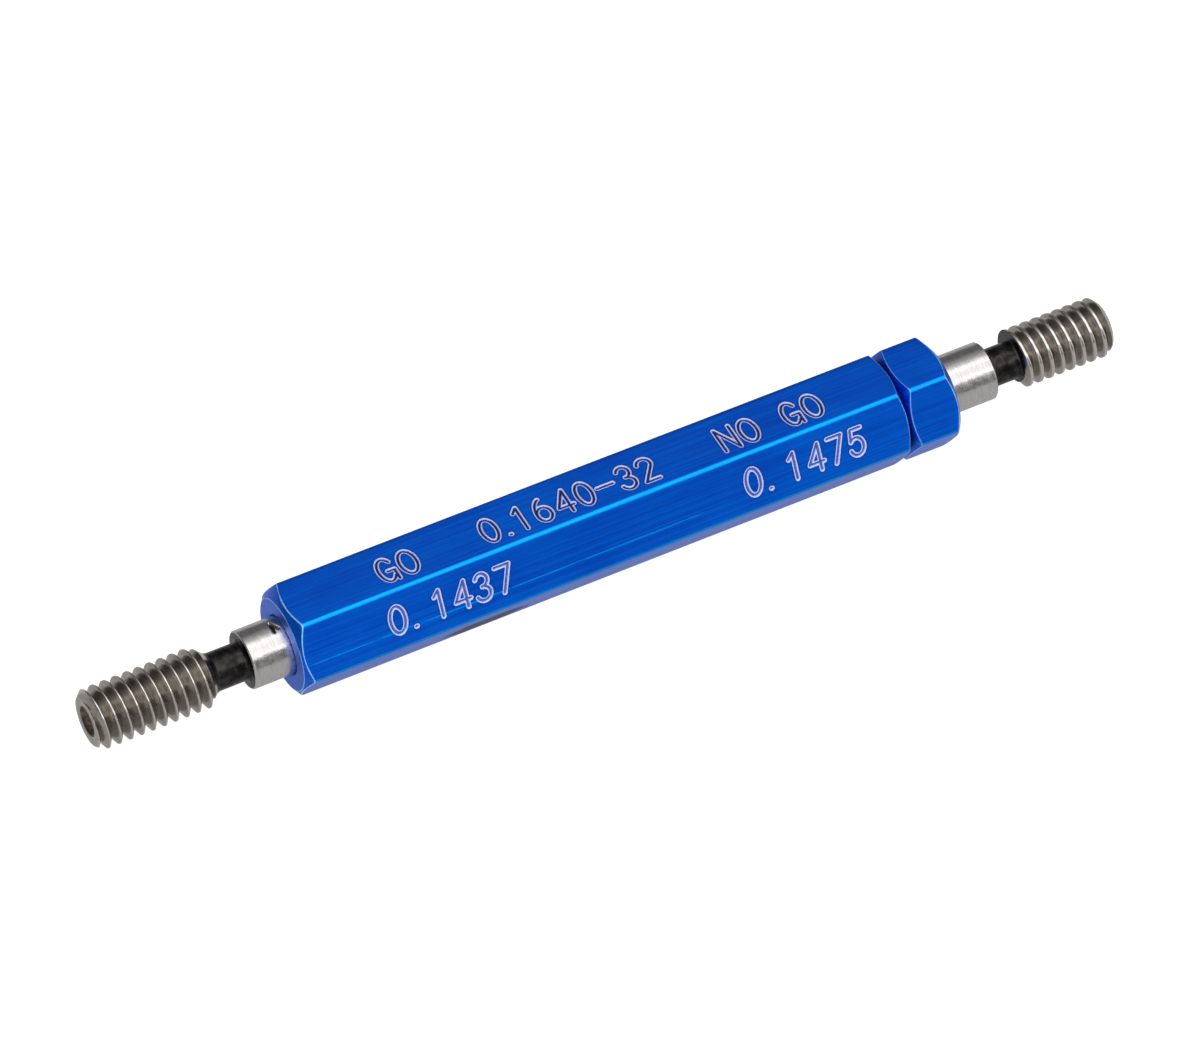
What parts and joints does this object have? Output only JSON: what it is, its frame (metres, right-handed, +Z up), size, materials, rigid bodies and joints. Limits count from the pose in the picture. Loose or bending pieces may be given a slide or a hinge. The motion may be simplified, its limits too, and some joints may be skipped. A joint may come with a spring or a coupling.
{
  "type": "thread plug gauge",
  "caption": "Double-ended thread plug gauge: a hexagonal blue aluminium handle with a GO threaded steel member at one end and a shorter NO GO threaded member at the other.",
  "frame": {"origin": "on the face the gauge rests on, below its axis, at the middle of its whole length", "axes": "+X along the gauge from the GO end to the NO GO end, +Z up out of the resting flat, +Y across the handle's corners"},
  "size_m": [0.0738, 0.0078, 0.0069],
  "materials": {
    "blue_anodised_aluminium": "satin blue anodised, fine drawn lines along the flats",
    "ground_steel": "hardened steel, ground and lapped, dark turned neck"
  },
  "bodies": {
    "root": {"handle": "blue_anodised_aluminium", "go_member": "ground_steel", "no_go_member": "ground_steel"}
  },
  "joints": []
}
